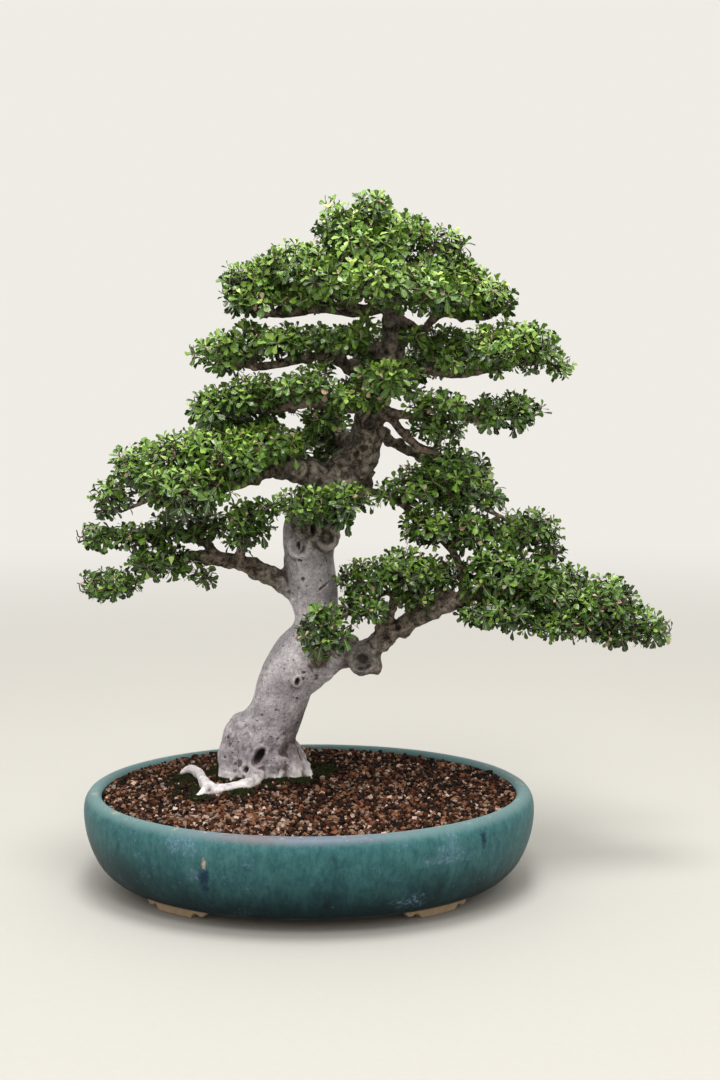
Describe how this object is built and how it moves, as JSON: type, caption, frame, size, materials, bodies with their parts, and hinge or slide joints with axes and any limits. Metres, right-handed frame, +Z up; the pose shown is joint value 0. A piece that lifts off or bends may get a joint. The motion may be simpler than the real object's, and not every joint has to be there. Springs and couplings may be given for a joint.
{
  "type": "bonsai tree",
  "caption": "Fukien tea bonsai: a leaning pale trunk with spreading branches and layered leaf sprays, rooted in gritty soil in a low oval glazed pot on small feet.",
  "frame": {"origin": "The middle of the whole bonsai's bounding box seen from above, on the plane that the pot's feet stand on.", "axes": "+Z is up. +X runs along the pot's length, to the right seen from the front. +Y points to the back."},
  "size_m": [0.6644, 0.394, 0.7653],
  "materials": {
    "glaze": "gloss",
    "soil": "matte",
    "screen": "matte",
    "bark": "matte",
    "leaf": "satin"
  },
  "bodies": {
    "root": {"pot": "glaze", "soil": "soil", "drain_screen_left": "screen", "drain_screen_right": "screen", "trunk_and_branches": "bark", "foliage_apex": "leaf", "foliage_crown_left": "leaf", "foliage_crown_right": "leaf", "foliage_crown_front": "leaf", "foliage_upper_left": "leaf", "foliage_upper_right": "leaf", "foliage_upper_front": "leaf", "foliage_middle_left": "leaf", "foliage_middle_right": "leaf", "foliage_back_upper": "leaf", "foliage_back_middle": "leaf", "foliage_back_right": "leaf", "foliage_left_upper": "leaf", "foliage_left_lower": "leaf", "foliage_center_front": "leaf", "foliage_right_upper": "leaf", "foliage_right_lower": "leaf", "foliage_right_inner": "leaf", "foliage_front_low": "leaf"}
  },
  "joints": []
}
